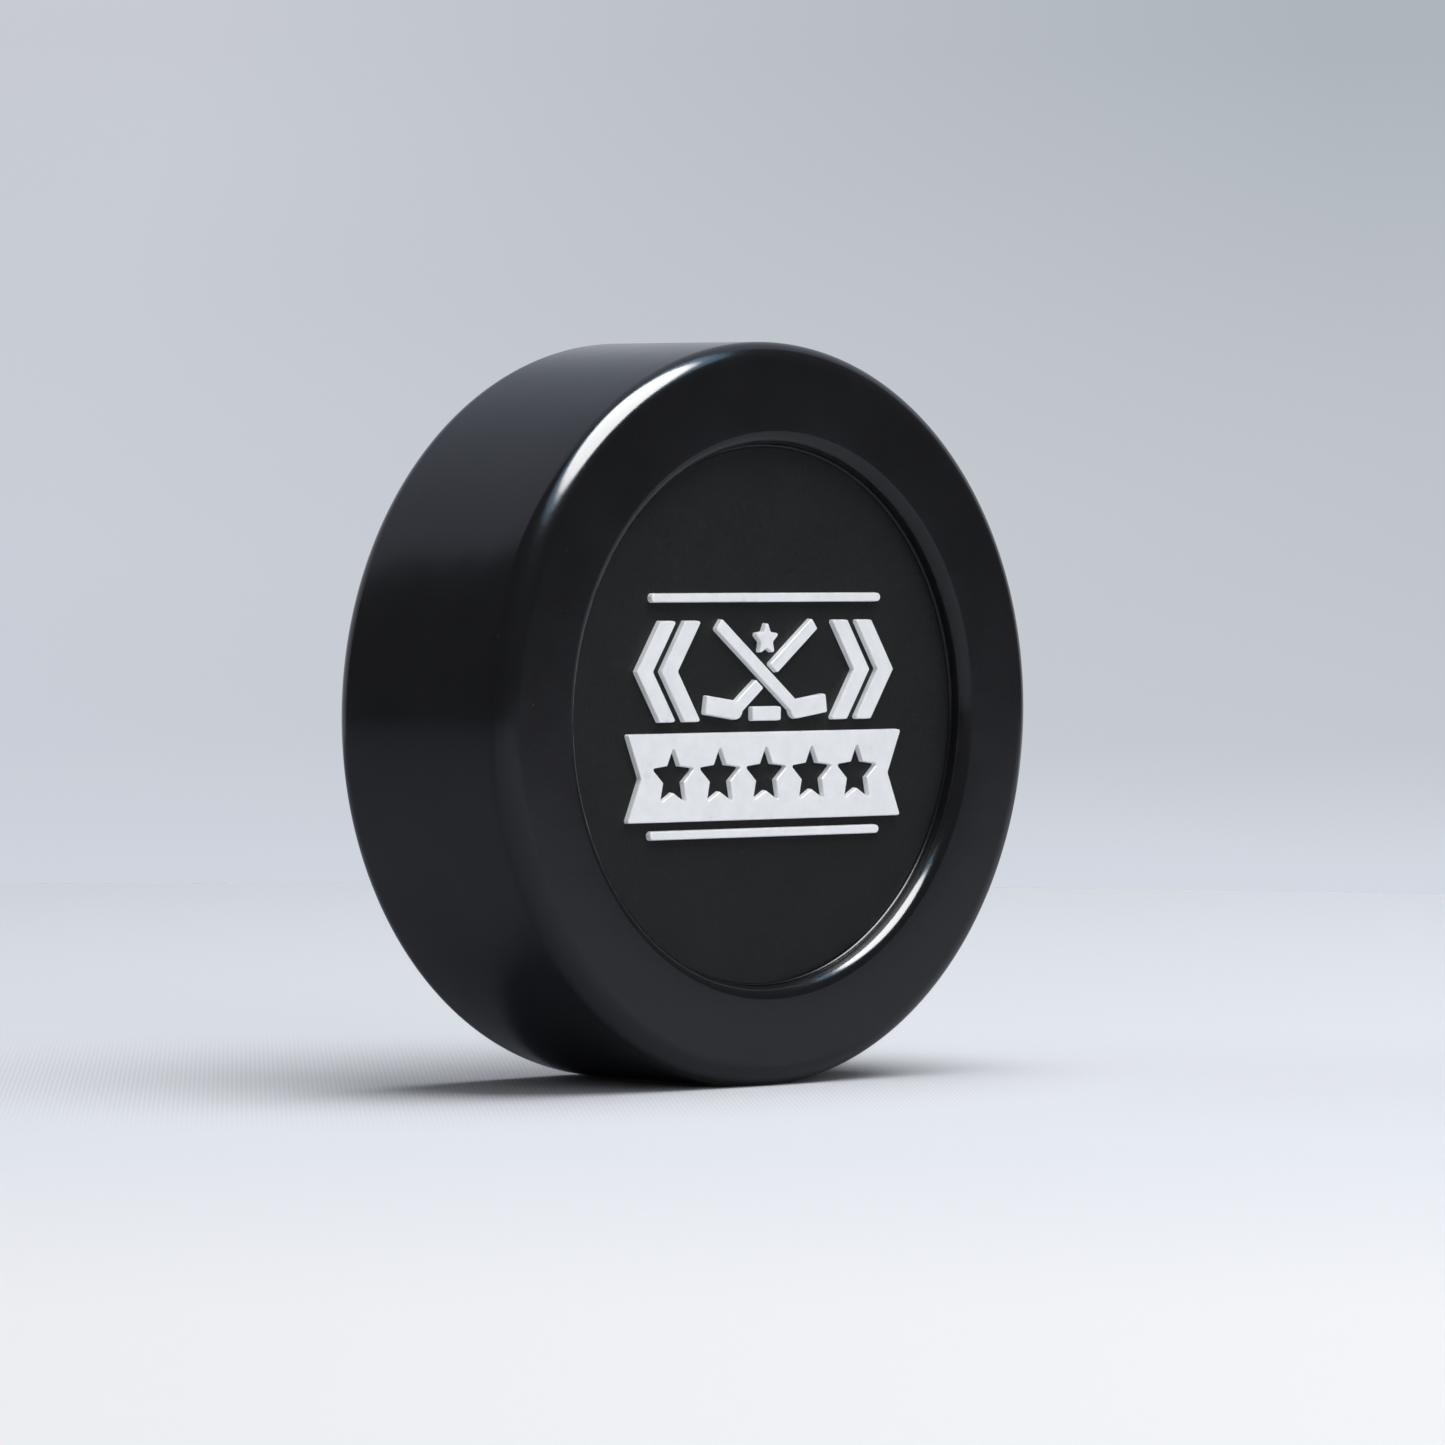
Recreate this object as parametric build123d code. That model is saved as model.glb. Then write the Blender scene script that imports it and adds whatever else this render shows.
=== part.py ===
from build123d import *
from math import sqrt
import os

# A regulation-size moulded ice hockey puck that stands on its rim.
# Millimetres. Origin: the point under the middle of the rim, where it touches the ground.
# +Z up, the puck's own axis along Y, decorated face towards -Y, plain face towards +Y.

# ---- driving dimensions -------------------------------------------------------------
DIAMETER = 76.2              # regulation 3 in
THICKNESS = 25.4             # regulation 1 in
RIM_EDGE_RADIUS = 2.4        # rounded edge between the side and each ring face
FOOT_WIDTH = 8.0             # shallow flat that the puck stands on where its rim rests

RECESS_DEPTH = 2.0           # ring face down to the panel
RECESS_WALL_RADIUS = 27.7
LIP_RADIUS = 1.35            # rounded lip where the ring face turns into the recess

PANEL_THICKNESS = 1.6        # separately moulded disc, bonded into the counterbore
PANEL_GAP = 0.05             # radial gap all round the disc
PANEL_FILLET = 0.25          # concave fillet that turns the panel up along the recess wall

RELIEF = 0.6                 # height of the white artwork above the panel
RELIEF_DRAFT = 6.0           # degrees that its sides lean in
RELIEF_TOP_RADIUS = 0.12     # soft upper edges
RELIEF_CORNER_RADIUS = 0.25  # rounding of its outline corners

# artwork layout, in the panel's plane, from the puck's centre
RULE_LENGTH = 33.0
RULE_WIDTH = 0.95
RULE_HEIGHT = 12.0           # of its centre line, above and below the middle

ROW_BOTTOM, ROW_TOP = -0.6, 9.7
CHEVRON_STROKE = 2.4
CHEVRON_POINT = 3.3          # how far each tip leads its ends
CHEVRON_TIPS = (18.5, 15.0)  # distance of the outer and inner tips from the middle

RIBBON_LENGTH = 39.4
RIBBON_BOTTOM, RIBBON_TOP = -10.7, -1.7
RIBBON_NOTCH = 1.9           # depth of the swallow-tail ends
STAR_COUNT = 5
STAR_PITCH = 6.6
STAR_OUTER, STAR_INNER = 3.05, 1.45

STICK_BUTT = (6.9, 9.35)     # centre of the shaft's free end, for the stick leaning one way
STICK_HEEL = (4.4, 0.55)     # where shaft meets blade, on the other side
STICK_TOE = (8.7, 1.15)
SHAFT_WIDTH = 1.45
BLADE_WIDTH = 2.0
CROSSING_GAP = 0.45          # clear space each side of the stick that passes in front

TOKEN_WIDTH, TOKEN_HEIGHT = 4.2, 1.5   # small puck between the blades
TOKEN_MIDDLE = 0.15
CREST_STAR_MIDDLE = 7.75
CREST_STAR_OUTER, CREST_STAR_INNER = 2.0, 0.95

# ---- derived ------------------------------------------------------------------------
RADIUS = DIAMETER / 2
HALF = THICKNESS / 2
AXIS_HEIGHT = sqrt(RADIUS**2 - (FOOT_WIDTH / 2) ** 2)
COUNTERBORE_DEPTH = RECESS_DEPTH + PANEL_THICKNESS
PANEL_RADIUS = RECESS_WALL_RADIUS - PANEL_GAP
TINY = 1e-6

# local x = +X, local y = +Z, local z = out of the decorated face
front_of_panel = Plane(
    origin=(0, -HALF + RECESS_DEPTH, AXIS_HEIGHT), x_dir=(1, 0, 0), z_dir=(0, -1, 0)
)


# ---- puck body and its two panels ---------------------------------------------------
def stand_up(turned):
    """Lay an axis that runs along Z along Y instead, at the height of a puck on its rim."""
    return Pos(0, 0, AXIS_HEIGHT) * Rot(90, 0, 0) * turned


def body():
    """Turned body, with the shallow flat that it rests on."""
    turned = stand_up(revolve(Plane.XZ * body_section(), Axis.Z))
    ground = Pos(0, 0, -RADIUS / 2) * Box(DIAMETER, DIAMETER, RADIUS)
    return turned - ground


def body_section():
    """Half section of the body: a block with a counterbore in each end, lips and edges rounded."""
    section = Pos(RADIUS / 2, 0) * Rectangle(RADIUS, THICKNESS)
    for side in (1, -1):
        middle = side * (HALF - COUNTERBORE_DEPTH / 2)
        section -= Pos(RECESS_WALL_RADIUS / 2, middle) * Rectangle(
            RECESS_WALL_RADIUS, COUNTERBORE_DEPTH
        )
    for radius, rounding in ((RADIUS, RIM_EDGE_RADIUS), (RECESS_WALL_RADIUS, LIP_RADIUS)):
        corners = [
            v for v in section.vertices()
            if abs(v.X - radius) < TINY and abs(abs(v.Y) - HALF) < TINY
        ]
        section = fillet(corners, rounding)
    return section


def panel(side):
    """Disc that fills the counterbore facing -Y (side 1) or +Y (side -1)."""
    face = HALF - RECESS_DEPTH
    back = face - PANEL_THICKNESS
    tip = face + PANEL_FILLET
    height = tip - back
    section = Pos(PANEL_RADIUS / 2, back + height / 2) * Rectangle(PANEL_RADIUS, height)
    hollow = PANEL_RADIUS - PANEL_FILLET
    section -= Pos(hollow / 2, face + PANEL_FILLET / 2) * Rectangle(hollow, PANEL_FILLET)
    section -= Pos(hollow, tip) * Circle(PANEL_FILLET)
    disc = revolve(Plane.XZ * section, Axis.Z)
    return stand_up(disc if side == 1 else Rot(180, 0, 0) * disc)


# ---- white artwork ------------------------------------------------------------------
def raised(outline):
    """Stand an outline up on the panel, with drafted sides and soft upper edges."""
    block = extrude(front_of_panel * outline, RELIEF, taper=RELIEF_DRAFT)
    top = block.faces().sort_by(Axis.Y)[0]
    return fillet(top.edges(), RELIEF_TOP_RADIUS)


def softened(outline, radius=RELIEF_CORNER_RADIUS):
    return fillet(outline.vertices(), radius)


def star(outer, inner, points=5):
    """Star with one point up; its tips lie on the outer circle and its dips on the inner one."""
    ring = []
    for k in range(2 * points):
        reach = outer if k % 2 == 0 else inner
        ring.append(Vector(0, reach).rotate(Axis.Z, 180 * k / points))
    return make_face(Polyline(*ring, close=True))


def rule(height):
    return Pos(0, height) * SlotOverall(RULE_LENGTH, RULE_WIDTH)


def chevron(tip, side):
    """Arrowhead stroke whose tip points away from the middle."""
    middle = (ROW_TOP + ROW_BOTTOM) / 2
    back = tip - CHEVRON_POINT
    corners = [
        (back, ROW_TOP), (tip, middle), (back, ROW_BOTTOM),
        (back - CHEVRON_STROKE, ROW_BOTTOM), (tip - CHEVRON_STROKE, middle),
        (back - CHEVRON_STROKE, ROW_TOP),
    ]
    return softened(make_face(Polyline(*[(side * x, y) for x, y in corners], close=True)))


def bar(start, end, width):
    """Straight bar of one width between two points, with square ends."""
    start, end = Vector(*start), Vector(*end)
    run = end - start
    middle = start + run * 0.5
    turn = Vector(1, 0).get_signed_angle(run, Vector(0, 0, 1))
    return Pos(middle.X, middle.Y) * Rot(0, 0, turn) * Rectangle(run.length, width)


def stick_outline(side, margin=0.0):
    """Hockey stick with its blade on the given side; margin widens it all round."""
    butt = (-side * STICK_BUTT[0], STICK_BUTT[1])
    heel = (side * STICK_HEEL[0], STICK_HEEL[1])
    toe = (side * STICK_TOE[0], STICK_TOE[1])
    shaft = bar(butt, heel, SHAFT_WIDTH + 2 * margin)
    blade = bar(heel, toe, BLADE_WIDTH + 2 * margin)
    corner = Pos(*heel) * Circle(BLADE_WIDTH / 2 + margin)
    return shaft + blade + corner


def ribbon():
    """Swallow-tailed banner with a row of stars cut right through it."""
    half = RIBBON_LENGTH / 2
    middle = (RIBBON_TOP + RIBBON_BOTTOM) / 2
    banner = softened(make_face(Polyline(
        (half, RIBBON_TOP), (half - RIBBON_NOTCH, middle), (half, RIBBON_BOTTOM),
        (-half, RIBBON_BOTTOM), (-half + RIBBON_NOTCH, middle), (-half, RIBBON_TOP),
        close=True,
    )))
    first = -STAR_PITCH * (STAR_COUNT - 1) / 2
    for k in range(STAR_COUNT):
        cut = softened(star(STAR_OUTER, STAR_INNER), RELIEF_CORNER_RADIUS / 2)
        banner -= Pos(first + k * STAR_PITCH, middle) * cut
    return banner


def artwork():
    """Every separate white piece by name."""
    pieces = {"upper_rule": rule(RULE_HEIGHT), "lower_rule": rule(-RULE_HEIGHT)}
    for side, side_name in ((-1, "left"), (1, "right")):
        for tip, place in zip(CHEVRON_TIPS, ("outer", "inner")):
            pieces[f"{side_name}_{place}_chevron"] = chevron(tip, side)
    pieces["front_stick"] = softened(stick_outline(1))
    behind = stick_outline(-1) - stick_outline(1, CROSSING_GAP)
    lower, upper = behind.faces().sort_by(Axis.Y)
    pieces["rear_stick_blade"] = softened(Sketch() + lower)
    pieces["rear_stick_shaft"] = softened(Sketch() + upper)
    pieces["small_puck"] = Pos(0, TOKEN_MIDDLE) * RectangleRounded(
        TOKEN_WIDTH, TOKEN_HEIGHT, RELIEF_CORNER_RADIUS
    )
    pieces["crest_star"] = Pos(0, CREST_STAR_MIDDLE) * softened(
        star(CREST_STAR_OUTER, CREST_STAR_INNER)
    )
    pieces["star_ribbon"] = ribbon()
    return {name: raised(outline) for name, outline in pieces.items()}


# ---- write every node ---------------------------------------------------------------
nodes = {
    "puck_body": body(),
    "front_panel": panel(1),
    "back_panel": panel(-1),
}
nodes.update(artwork())

os.makedirs("parts", exist_ok=True)
for name, shape in nodes.items():
    shape.label = name
    export_step(shape, f"parts/{name}.step")
    box = shape.bounding_box()
    print(name, [round(v, 2) for v in (*box.min, *box.max)], round(shape.volume, 2))
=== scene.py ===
import math

import bmesh
import bpy
from mathutils import Matrix, Vector


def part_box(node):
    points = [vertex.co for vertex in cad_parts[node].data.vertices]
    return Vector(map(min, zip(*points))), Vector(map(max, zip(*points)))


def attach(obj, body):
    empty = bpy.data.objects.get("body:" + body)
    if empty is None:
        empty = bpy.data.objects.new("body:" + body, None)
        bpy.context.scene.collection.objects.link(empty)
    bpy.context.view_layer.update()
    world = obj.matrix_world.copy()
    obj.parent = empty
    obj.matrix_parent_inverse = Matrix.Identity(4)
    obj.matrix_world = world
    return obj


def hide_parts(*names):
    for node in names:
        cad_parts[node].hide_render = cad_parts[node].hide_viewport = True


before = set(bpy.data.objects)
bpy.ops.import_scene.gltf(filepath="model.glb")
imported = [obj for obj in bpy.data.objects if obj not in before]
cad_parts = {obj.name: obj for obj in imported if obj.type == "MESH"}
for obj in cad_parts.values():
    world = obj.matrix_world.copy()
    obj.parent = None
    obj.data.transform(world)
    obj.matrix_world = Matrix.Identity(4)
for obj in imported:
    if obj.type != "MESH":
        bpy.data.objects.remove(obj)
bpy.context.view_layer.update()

MM = 0.001

# ---- sizes taken from the frame -----------------------------------------------------
BODY_LOW, BODY_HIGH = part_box("puck_body")
PANEL_LOW, PANEL_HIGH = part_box("front_panel")
RADIUS = (BODY_HIGH.x - BODY_LOW.x) / 2
HALF = (BODY_HIGH.y - BODY_LOW.y) / 2
CENTRE = Vector((0, 0, BODY_HIGH.z - RADIUS))
PANEL_RADIUS = (PANEL_HIGH.x - PANEL_LOW.x) / 2
PANEL_BACK = -PANEL_HIGH.y           # distances from the middle plane

# ---- sizes that the boxes don't give (the same as in the CAD source) -----------------
RIM_EDGE_RADIUS = 2.4 * MM
LIP_RADIUS = 1.35 * MM
PANEL_GAP = 0.05 * MM
WALL_RADIUS = PANEL_RADIUS + PANEL_GAP
PANEL_FILLET = 0.25 * MM              # concave edge that turns up along the recess wall
PANEL_FACE = -PANEL_LOW.y - PANEL_FILLET
RING_MIDDLE = 32.3 * MM               # an extra ring of points on the flat ring face
TURN_STEPS = 480                      # facets round the puck

# ---- camera: its place relative to the puck --------------------------------------------
CAMERA_AZIMUTH = -44.27               # degrees, 0 looks along +Y
CAMERA_ELEVATION = 1.51
CAMERA_ROLL = 0.40
CAMERA_DISTANCE = 0.8214
CAMERA_LENS = 198.4                   # mm on a 36 mm sensor
AIM_RIGHT, AIM_UP = 3.38 * MM, -1.02 * MM   # the puck stands a little left of and above the middle

# ---- stage -----------------------------------------------------------------------------
FLOOR_RIB_PITCH = 0.48 * MM
FLOOR_RIB_TURN = math.radians(41)     # from +Y towards +X
FLOOR_REACH = 0.42                    # radius of the floor on the far side
FLOOR_REACH_MORE = 0.75               # how much further it reaches on the camera's side
FLOOR_HOLE = 0.0005                   # radius of the tiny hole in the middle of the stage pieces
BACKDROP_RADIUS = 1.6


# ---- mesh helpers -------------------------------------------------------------------
def arc(centre, radius, start, end, steps):
    """Points of an arc in the (radius, axial) plane, angles in degrees from outwards to axial."""
    points = []
    for k in range(steps + 1):
        a = math.radians(start + (end - start) * k / steps)
        points.append((centre[0] + radius * math.cos(a), centre[1] + radius * math.sin(a)))
    return points


def turned_piece(name, section, rests=False):
    """Turn a closed half section (radius, distance towards -Y) round the puck's axis."""
    bm = bmesh.new()
    rings = []
    for radius, out in section:
        if radius < 1e-9:
            rings.append([bm.verts.new((0, -out, CENTRE.z))])
            continue
        ring = []
        for k in range(TURN_STEPS):
            a = 2 * math.pi * k / TURN_STEPS
            z = CENTRE.z + radius * math.sin(a)
            if rests:
                z = max(z, BODY_LOW.z)
            ring.append(bm.verts.new((radius * math.cos(a), -out, z)))
        rings.append(ring)
    for one, two in zip(rings, rings[1:]):
        for k in range(TURN_STEPS):
            n = (k + 1) % TURN_STEPS
            corners = [one[k % len(one)], one[n % len(one)], two[n % len(two)], two[k % len(two)]]
            bm.faces.new(list(dict.fromkeys(corners)))
    bmesh.ops.recalc_face_normals(bm, faces=bm.faces)
    mesh = bpy.data.meshes.new(name)
    bm.to_mesh(mesh)
    bm.free()
    for face in mesh.polygons:
        face.use_smooth = True
    piece = bpy.data.objects.new(name, mesh)
    bpy.context.scene.collection.objects.link(piece)
    return piece


# ---- node helpers -------------------------------------------------------------------
class Nodes:
    """Small wrapper that adds shader nodes and links them by socket name."""

    def __init__(self, name):
        self.material = bpy.data.materials.new(name)
        self.material.use_nodes = True
        self.tree = self.material.node_tree
        self.tree.nodes.clear()
        self.place = self.add("ShaderNodeTexCoord").outputs["Object"]

    def add(self, kind, **inputs):
        node = self.tree.nodes.new(kind)
        for key, value in inputs.items():
            self.feed(node.inputs[key.replace("_", " ")], value)
        return node

    def feed(self, socket, value):
        if isinstance(value, bpy.types.NodeSocket):
            self.tree.links.new(value, socket)
        else:
            socket.default_value = value

    def noise(self, size, detail=2.0, roughness=0.5):
        """Noise whose features are about the given size, in metres."""
        node = self.add(
            "ShaderNodeTexNoise", Vector=self.place, Scale=1 / size, Detail=detail,
            Roughness=roughness,
        )
        return node.outputs["Fac"]

    def from_axis(self):
        """Vector from the puck's axis, straight out to the point."""
        out = self.add("ShaderNodeVectorMath")
        out.operation = "MULTIPLY_ADD"
        for socket, value in zip(out.inputs, (self.place, (1, 0, 1), (0, 0, -CENTRE.z))):
            self.feed(socket, value)
        return out.outputs["Vector"]

    def length(self, vector):
        node = self.add("ShaderNodeVectorMath", Vector=vector)
        node.operation = "LENGTH"
        return node.outputs["Value"]

    def turning_lines(self, size):
        """Noise that runs in fine lines round the puck's axis."""
        out = self.from_axis()
        parts = self.add("ShaderNodeSeparateXYZ", Vector=out)
        angle = self.math("ARCTAN2", parts.outputs["Z"], parts.outputs["X"])
        depth = self.add("ShaderNodeSeparateXYZ", Vector=self.place).outputs["Y"]
        place = self.add(
            "ShaderNodeCombineXYZ", X=self.math("DIVIDE", self.length(out), size),
            Y=self.math("DIVIDE", depth, size), Z=self.math("MULTIPLY", angle, 2.0),
        )
        node = self.add("ShaderNodeTexNoise", Vector=place.outputs["Vector"], Scale=1.0, Detail=2.0)
        return node.outputs["Fac"]

    def specks(self, size, reach):
        """1 in the middle of sparse random dots, 0 elsewhere; reach is their share of a cell."""
        node = self.add("ShaderNodeTexVoronoi", Vector=self.place, Scale=1 / size)
        return self.span(node.outputs["Distance"], reach, 0.0, 0.0, 1.0)

    def span(self, value, low, high, to_low, to_high):
        node = self.add("ShaderNodeMapRange", Value=value)
        for key, number in zip(("From Min", "From Max", "To Min", "To Max"),
                               (low, high, to_low, to_high)):
            node.inputs[key].default_value = number
        return node.outputs["Result"]

    def math(self, operation, one, two):
        node = self.add("ShaderNodeMath")
        node.operation = operation
        self.feed(node.inputs[0], one)
        self.feed(node.inputs[1], two)
        return node.outputs["Value"]

    def blend(self, factor, one, two):
        node = self.add("ShaderNodeMix")
        node.data_type = "RGBA"
        self.feed(node.inputs["Factor"], factor)
        self.feed(node.inputs["A"], one)
        self.feed(node.inputs["B"], two)
        return node.outputs["Result"]

    def bump(self, height, depth, normal=None):
        """Relief of the given depth in metres from a 0..1 height."""
        node = self.add("ShaderNodeBump", Height=height, Strength=1.0, Distance=depth)
        if normal is not None:
            self.feed(node.inputs["Normal"], normal)
        return node.outputs["Normal"]

    def finish(self, **inputs):
        shader = self.add("ShaderNodeBsdfPrincipled", **inputs)
        self.add("ShaderNodeOutputMaterial", Surface=shader.outputs["BSDF"])
        return self.material


def grey(value, blue=0.0):
    return (value, value * (1 + blue / 2), value * (1 + blue), 1.0)


# ---- materials ----------------------------------------------------------------------
def body_rubber():
    n = Nodes("satin black moulded rubber")
    cloud = n.noise(9 * MM, 3.0)
    grain = n.noise(0.35 * MM, 3.0, 0.6)
    dust = n.specks(2.6 * MM, 0.035)
    tint = n.blend(
        n.span(cloud, 0.3, 0.7, 0.0, 1.0), (0.0058, 0.0061, 0.0074, 1), (0.0082, 0.0085, 0.0100, 1)
    )
    tint = n.blend(n.math("MULTIPLY", dust, 0.30), tint, grey(0.22))
    rough = n.math(
        "ADD", n.span(cloud, 0.3, 0.7, 0.125, 0.165), n.span(grain, 0.3, 0.7, -0.02, 0.03)
    )
    flow = n.bump(n.noise(14 * MM, 2.0), 0.05 * MM)
    lines = n.bump(n.turning_lines(0.25 * MM), 0.0022 * MM, flow)
    skin = n.bump(grain, 0.0015 * MM, lines)
    return n.finish(Base_Color=tint, Roughness=rough, IOR=1.47, Normal=skin)


def panel_rubber():
    n = Nodes("matte grained black rubber")
    cloud = n.noise(6 * MM, 3.0)
    grain = n.noise(0.30 * MM, 4.0, 0.65)
    dust = n.specks(1.9 * MM, 0.045)
    tint = n.blend(n.span(cloud, 0.3, 0.7, 0.0, 1.0), grey(0.0030, 0.20), grey(0.0050, 0.16))
    tint = n.blend(n.span(grain, 0.60, 0.78, 0.0, 0.6), tint, grey(0.028, 0.04))
    tint = n.blend(n.math("MULTIPLY", dust, 0.5), tint, grey(0.12))
    reach = n.length(n.from_axis())
    flat = n.span(reach, PANEL_RADIUS - 0.4 * MM, PANEL_RADIUS - 0.2 * MM, 1.0, 0.0)
    rough = n.math("ADD", 0.22, n.math("MULTIPLY", flat, n.span(grain, 0.3, 0.7, 0.16, 0.28)))
    skin = n.bump(n.math("MULTIPLY", flat, grain), 0.040 * MM)
    return n.finish(Base_Color=tint, Roughness=rough, IOR=1.40, Normal=skin)


def artwork_white():
    n = Nodes("white moulded artwork")
    cloud = n.noise(2.2 * MM, 4.0, 0.6)
    grain = n.noise(0.16 * MM, 3.0, 0.6)
    tint = n.blend(n.span(cloud, 0.3, 0.7, 0.0, 1.0), grey(0.88, 0.05), grey(0.96, 0.03))
    tint = n.blend(n.span(grain, 0.62, 0.80, 0.0, 0.35), tint, grey(0.62, 0.06))
    rough = n.span(cloud, 0.3, 0.7, 0.26, 0.38)
    skin = n.bump(cloud, 0.05 * MM)
    skin = n.bump(grain, 0.008 * MM, skin)
    return n.finish(Base_Color=tint, Roughness=rough, IOR=1.48, Normal=skin)


def floor_white():
    """Pale floor with a fine ribbed weave that shows around the puck, and painted shade that
    darkens it towards and behind the puck.
    """
    n = Nodes("pale floor with painted shade")
    axes = n.add("ShaderNodeSeparateXYZ", Vector=n.place)
    across = n.math("MULTIPLY", axes.outputs["X"], math.cos(FLOOR_RIB_TURN))
    across = n.math(
        "SUBTRACT", across, n.math("MULTIPLY", axes.outputs["Y"], math.sin(FLOOR_RIB_TURN))
    )
    along = n.math("MULTIPLY", axes.outputs["X"], math.sin(FLOOR_RIB_TURN))
    along = n.math("ADD", along, n.math("MULTIPLY", axes.outputs["Y"], math.cos(FLOOR_RIB_TURN)))
    wander = n.span(n.noise(6 * MM, 2.0), 0.0, 1.0, -0.5, 0.5)
    rib = n.math("ADD", n.math("MULTIPLY", across, 2 * math.pi / FLOOR_RIB_PITCH), wander)
    rib = n.span(n.math("SINE", rib, 0.0), -1.0, 1.0, 0.0, 1.0)
    shown = n.span(n.math("ABSOLUTE", along, 0.0), 0.015, 0.075, 1.0, 0.0)
    # painted shade: the floor's colour turns darker and bluer towards and behind the puck, standing
    # in for the lamps' light falling off there
    painted_light_falloff = n.blend(
        n.span(along, -0.235, -0.10, 0.0, 1.0), (0.735, 0.745, 0.765, 1), (0.665, 0.690, 0.735, 1)
    )
    tint = n.blend(n.math("MULTIPLY", rib, n.math("MULTIPLY", shown, 0.26)), painted_light_falloff, grey(0.42, 0.06))
    return n.finish(Base_Color=tint, Roughness=0.9, IOR=1.3)


def reflected_floor_painted_shade():
    """The floor as the glossy rubber shows it: a darker copy that paints a dimmer reflection, with
    painted shadow making it darker behind the puck than in front of it.
    """
    n = Nodes("dim floor with painted shadow")
    axes = n.add("ShaderNodeSeparateXYZ", Vector=n.place)
    # painted shadow: the reflected floor is darker behind the puck, where its shadow falls
    behind = n.span(axes.outputs["Y"], -0.03, 0.03, 0.0, 1.0)
    tint = n.blend(behind, (0.37, 0.38, 0.42, 1), (0.23, 0.25, 0.30, 1))
    return n.finish(Base_Color=tint, Roughness=0.9, IOR=1.3)


def painted_glow_backdrop():
    """Glowing backdrop that no lamp lights: its painted light falls off slowly upwards and to one
    side.
    """
    n = Nodes("glowing backdrop with painted light falloff")
    axes = n.add("ShaderNodeSeparateXYZ", Vector=n.place)
    height = axes.outputs["Z"]
    aside = n.math("SUBTRACT", axes.outputs["X"], axes.outputs["Y"])
    aside = n.span(aside, -0.20, 0.20, 0.0, 1.0)
    # painted light: these colours paint the backdrop's light falling off upwards and to one side,
    # and the band at its foot paints the lit floor's brightness
    low = n.blend(aside, (0.600, 0.630, 0.700, 1), (0.570, 0.600, 0.640, 1))
    high = n.blend(aside, (0.570, 0.595, 0.640, 1), (0.430, 0.470, 0.510, 1))
    foot = n.blend(aside, (0.617, 0.655, 0.720, 1), (0.660, 0.700, 0.765, 1))
    low = n.blend(n.span(height, 0.0, 0.016, 0.0, 1.0), foot, low)
    tone = n.blend(n.span(height, 0.0, 0.17, 0.0, 1.0), low, high)
    tone = n.blend(n.span(height, 0.25, 1.2, 0.0, 1.0), tone, (0.43, 0.47, 0.56, 1))
    mottle = n.span(n.noise(0.35, 2.0), 0.3, 0.7, 0.98, 1.02)
    # painted light: the backdrop glows though it is no lamp
    shader = n.add("ShaderNodeEmission", Color=tone, Strength=mottle)
    n.add("ShaderNodeOutputMaterial", Surface=shader.outputs["Emission"])
    return n.material


# ---- the puck -----------------------------------------------------------------------
def body_section():
    """Half section from the axis, round the front, side and back, to the axis again."""
    front = [(0.0, PANEL_BACK), (WALL_RADIUS, PANEL_BACK)]
    lip_middle = (WALL_RADIUS + LIP_RADIUS, HALF - LIP_RADIUS)
    rim_middle = (RADIUS - RIM_EDGE_RADIUS, HALF - RIM_EDGE_RADIUS)
    wall_end = HALF - LIP_RADIUS
    front += [(WALL_RADIUS, PANEL_BACK + (wall_end - PANEL_BACK) * k / 4) for k in (1, 2, 3)]
    front += arc(lip_middle, LIP_RADIUS, 180, 90, 16)
    front += [(RING_MIDDLE, HALF)]
    front += arc(rim_middle, RIM_EDGE_RADIUS, 90, 0, 24)
    back = [(radius, -out) for radius, out in reversed(front)]
    side = [(RADIUS, rim_middle[1] * k / 3) for k in (2, 1, 0, -1, -2)]
    return front + side + back


def panel_section(face, back):
    """Half section of a panel disc whose outer edge turns up in a small concave fillet."""
    sign = 1 if face > back else -1
    hollow = PANEL_RADIUS - PANEL_FILLET
    inner = [(0.0, face)] + [(hollow * k / 6, face) for k in range(1, 6)]
    edge = arc((hollow, face + sign * PANEL_FILLET), PANEL_FILLET, -sign * 90, 0, 10)
    return inner + edge + [(PANEL_RADIUS, back), (0.0, back)]


def make_puck():
    rubber, grained, white = body_rubber(), panel_rubber(), artwork_white()
    pieces = {
        "puck_body": (turned_piece("moulded_body", body_section(), rests=True), "body", rubber),
        "front_panel": (
            turned_piece("front_inlay", panel_section(PANEL_FACE, PANEL_BACK)), "panel", grained
        ),
        "back_panel": (
            turned_piece("back_inlay", panel_section(-PANEL_FACE, -PANEL_BACK)), "panel", grained
        ),
    }
    for node, (piece, slot, material) in pieces.items():
        piece.data.materials.append(material)
        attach(piece, "root")
        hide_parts(node)
    for node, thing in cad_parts.items():
        if node in pieces:
            continue
        thing.data.materials.clear()
        thing.data.materials.append(white)


# ---- camera, lights and stage --------------------------------------------------------
def direction(azimuth, elevation):
    a, e = math.radians(azimuth), math.radians(elevation)
    return Vector((math.sin(a) * math.cos(e), -math.cos(a) * math.cos(e), math.sin(e)))


def make_camera():
    out = direction(CAMERA_AZIMUTH, CAMERA_ELEVATION)
    eye = CENTRE + out * CAMERA_DISTANCE
    level = Vector((0, 0, 1)).cross(out).normalized()
    aim = CENTRE + level * AIM_RIGHT + out.cross(level) * AIM_UP
    back = (eye - aim).normalized()
    right = Vector((0, 0, 1)).cross(back).normalized()
    turn = Matrix((right, back.cross(right), back)).transposed().to_4x4()
    data = bpy.data.cameras.new("camera")
    data.sensor_width, data.lens = 36.0, CAMERA_LENS
    data.clip_start, data.clip_end = 0.01, 20.0
    camera = bpy.data.objects.new("camera", data)
    camera.matrix_world = (
        Matrix.Translation(eye) @ turn @ Matrix.Rotation(math.radians(CAMERA_ROLL), 4, "Z")
    )
    bpy.context.scene.collection.objects.link(camera)
    bpy.context.scene.camera = camera


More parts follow.
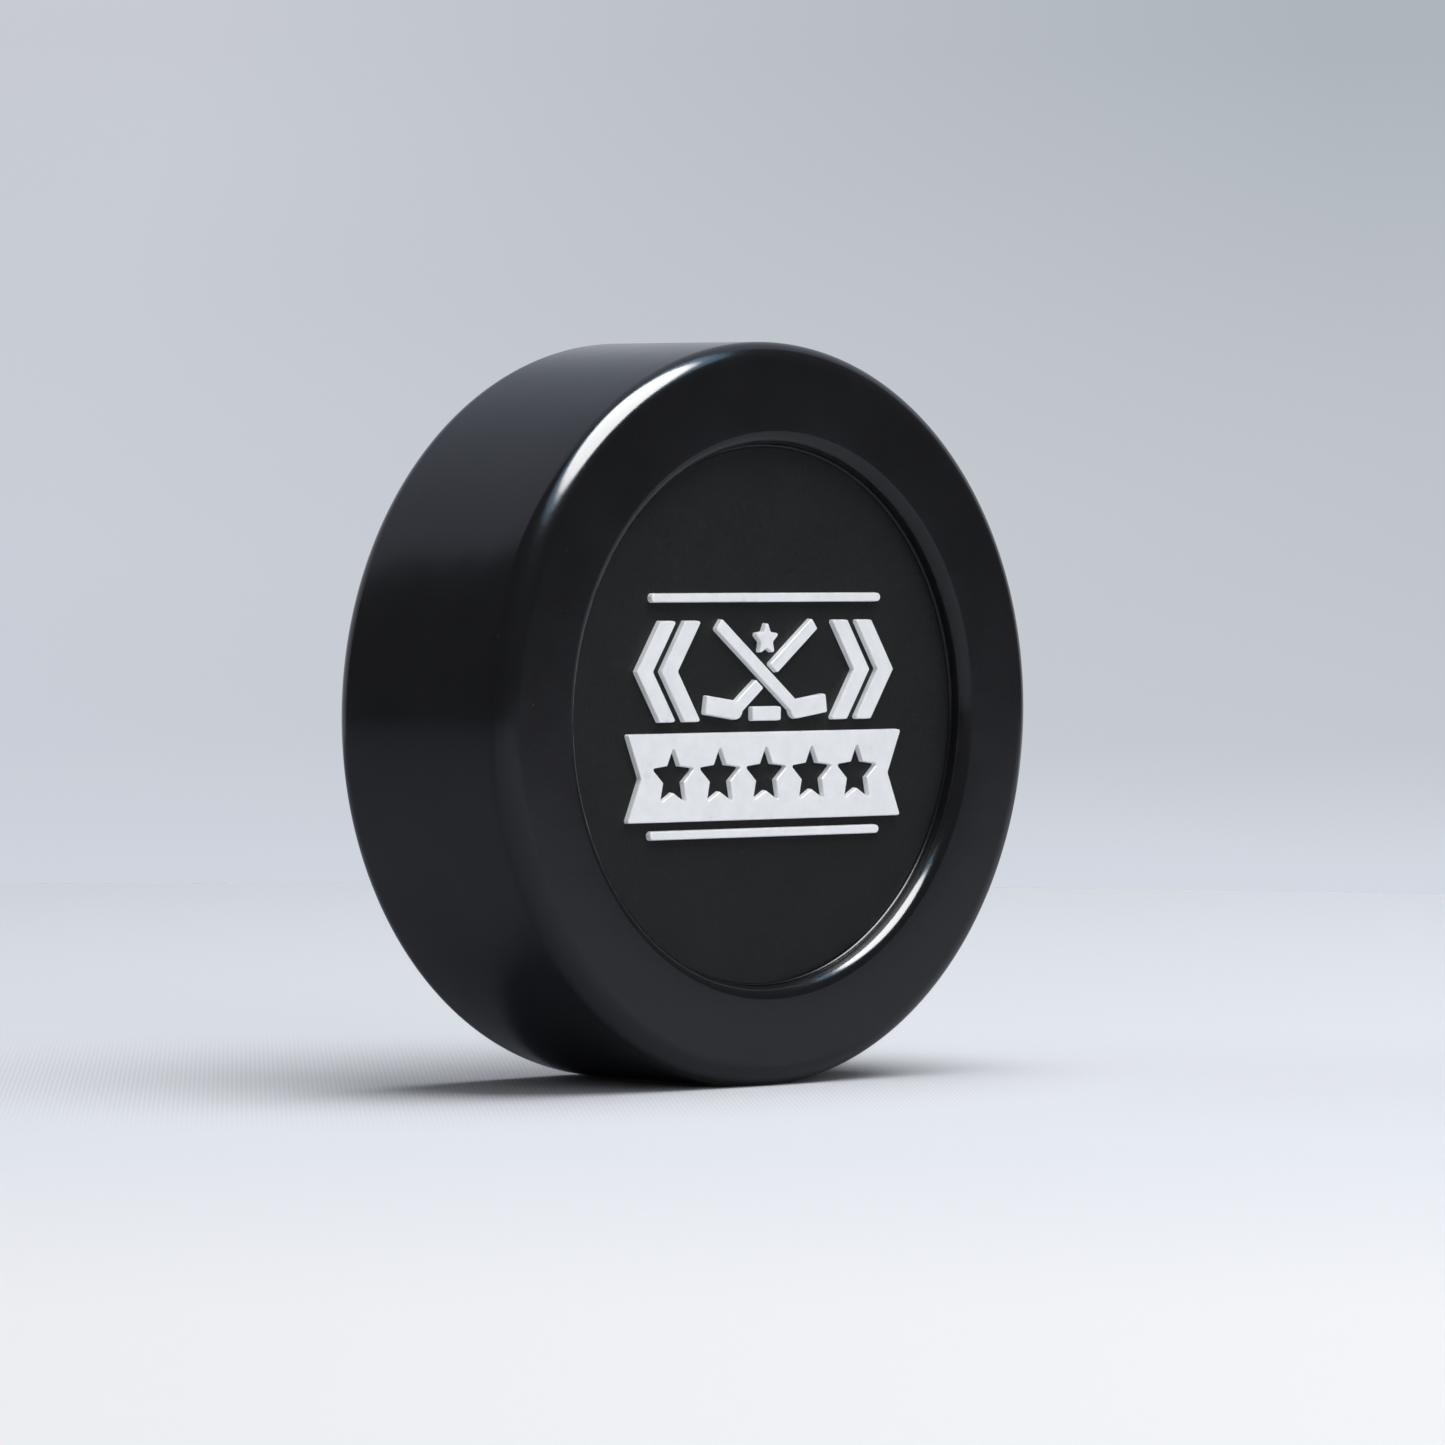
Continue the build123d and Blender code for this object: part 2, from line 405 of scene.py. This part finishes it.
def make_light(name, place, target, size, radiance, glossy, diffuse, colour=(1, 1, 1)):
    """Oval area light that faces a point. Its radiance is what a mirror would show of it."""
    data = bpy.data.lights.new(name, "AREA")
    data.shape = "ELLIPSE"
    data.size, data.size_y = size
    data.energy = radiance * math.pi * (math.pi / 4 * size[0] * size[1])
    data.color = colour
    lamp = bpy.data.objects.new(name, data)
    aim = (place - target).to_track_quat("Z", "Y").to_matrix().to_4x4()
    lamp.matrix_world = Matrix.Translation(place) @ aim
    lamp.visible_camera = False
    lamp.visible_glossy, lamp.visible_diffuse = glossy, diffuse
    bpy.context.scene.collection.objects.link(lamp)


def make_lights():
    down = Vector((0, 0, -1))
    over = CENTRE + Vector((-0.02, -0.265, 0.60))
    warm, blue = (1.0, 0.97, 0.95), (0.3, 0.65, 1.0)
    make_light("softbox gloss", over, over + down, (0.58, 0.73), 22.0, True, False, warm)
    above = over - 0.01 * down
    make_light("softbox skirt", above, above + down, (0.86, 0.86), 2.3, True, False, blue)
    over = CENTRE + Vector((0.30, -0.30, 1.20))
    make_light("softbox fill", over, over + down, (1.40, 1.60), 3.9, False, True)
    front = CENTRE + Vector((-0.25, -0.90, 0.35))
    make_light("front fill", front, CENTRE, (0.70, 0.70), 1.75, False, True)


def make_world():
    world = bpy.data.worlds.new("studio")
    world.use_nodes = True
    tree = world.node_tree
    tree.nodes.clear()
    rays = tree.nodes.new("ShaderNodeLightPath")
    seen = tree.nodes.new("ShaderNodeBackground")
    seen.inputs["Color"].default_value = (0.50, 0.52, 0.56, 1)
    unseen = tree.nodes.new("ShaderNodeBackground")
    unseen.inputs["Color"].default_value = (0.110, 0.112, 0.122, 1)
    mix = tree.nodes.new("ShaderNodeMixShader")
    output = tree.nodes.new("ShaderNodeOutputWorld")
    tree.links.new(rays.outputs["Is Camera Ray"], mix.inputs[0])
    tree.links.new(unseen.outputs[0], mix.inputs[1])
    tree.links.new(seen.outputs[0], mix.inputs[2])
    tree.links.new(mix.outputs[0], output.inputs[0])
    bpy.context.scene.world = world


def floor_edge(azimuth):
    """Radius at which the floor turns up into the backdrop: further out on the camera's side."""
    away = abs((azimuth - CAMERA_AZIMUTH + 180) % 360 - 180)
    near = max(0.0, 1 - away / 60)
    return FLOOR_REACH + FLOOR_REACH_MORE * near * near * (3 - 2 * near)


def stage_piece(name, section, material, start=0.0, sweep=360.0, steps=180):
    """Round stage piece from (distance beyond the floor's edge, height) points.

    A negative first number is a radius inside the floor instead.
    """
    points, faces = [], []
    for beyond, height in section:
        for k in range(steps + 1):
            azimuth = start + sweep * k / steps
            radius = -beyond if beyond < 0 else floor_edge(azimuth) + beyond
            out = direction(azimuth, 0.0) * radius
            points.append((out.x, out.y, height))
    wide = steps + 1
    for i in range(len(section) - 1):
        for k in range(steps):
            low, high = i * wide + k, (i + 1) * wide + k
            faces.append((low, low + 1, high + 1, high))
    mesh = bpy.data.meshes.new(name)
    mesh.from_pydata(points, [], faces)
    for face in mesh.polygons:
        face.use_smooth = True
    thing = bpy.data.objects.new(name, mesh)
    bpy.context.scene.collection.objects.link(thing)
    thing.data.materials.append(material)
    return thing


def make_stage():
    """Pale floor that turns up into a glowing backdrop whose light is painted. The glossy rubber
    sees a dimmer floor, a darker copy that paints its reflection and the puck's shadow behind it,
    and, as in a dark studio, only the part of the backdrop that stands behind the puck."""
    floor = stage_piece("floor", [(-FLOOR_HOLE, 0), (-0.2, 0), (0, 0)], floor_white())
    floor.visible_glossy = False
    skim = 0.03 * MM
    seen = stage_piece(
        "reflected floor", [(-FLOOR_HOLE, skim), (-0.2, skim), (0.7, skim)], reflected_floor_painted_shade()
    )
    seen.visible_camera = seen.visible_diffuse = seen.visible_shadow = False
    paper = painted_glow_backdrop()
    curve = arc((0.0, BACKDROP_RADIUS), BACKDROP_RADIUS, -90, 62, 38)
    behind = stage_piece("backdrop behind", curve, paper, start=85.0, sweep=127.0)
    around = stage_piece("backdrop around", curve, paper, start=212.0, sweep=233.0)
    around.visible_glossy = False
    for part in (behind, around):
        part.visible_diffuse = part.visible_shadow = False


make_puck()
make_camera()
make_lights()
make_world()
make_stage()
bpy.context.scene.view_settings.view_transform = "Standard"
bpy.context.scene.view_settings.look = "None"
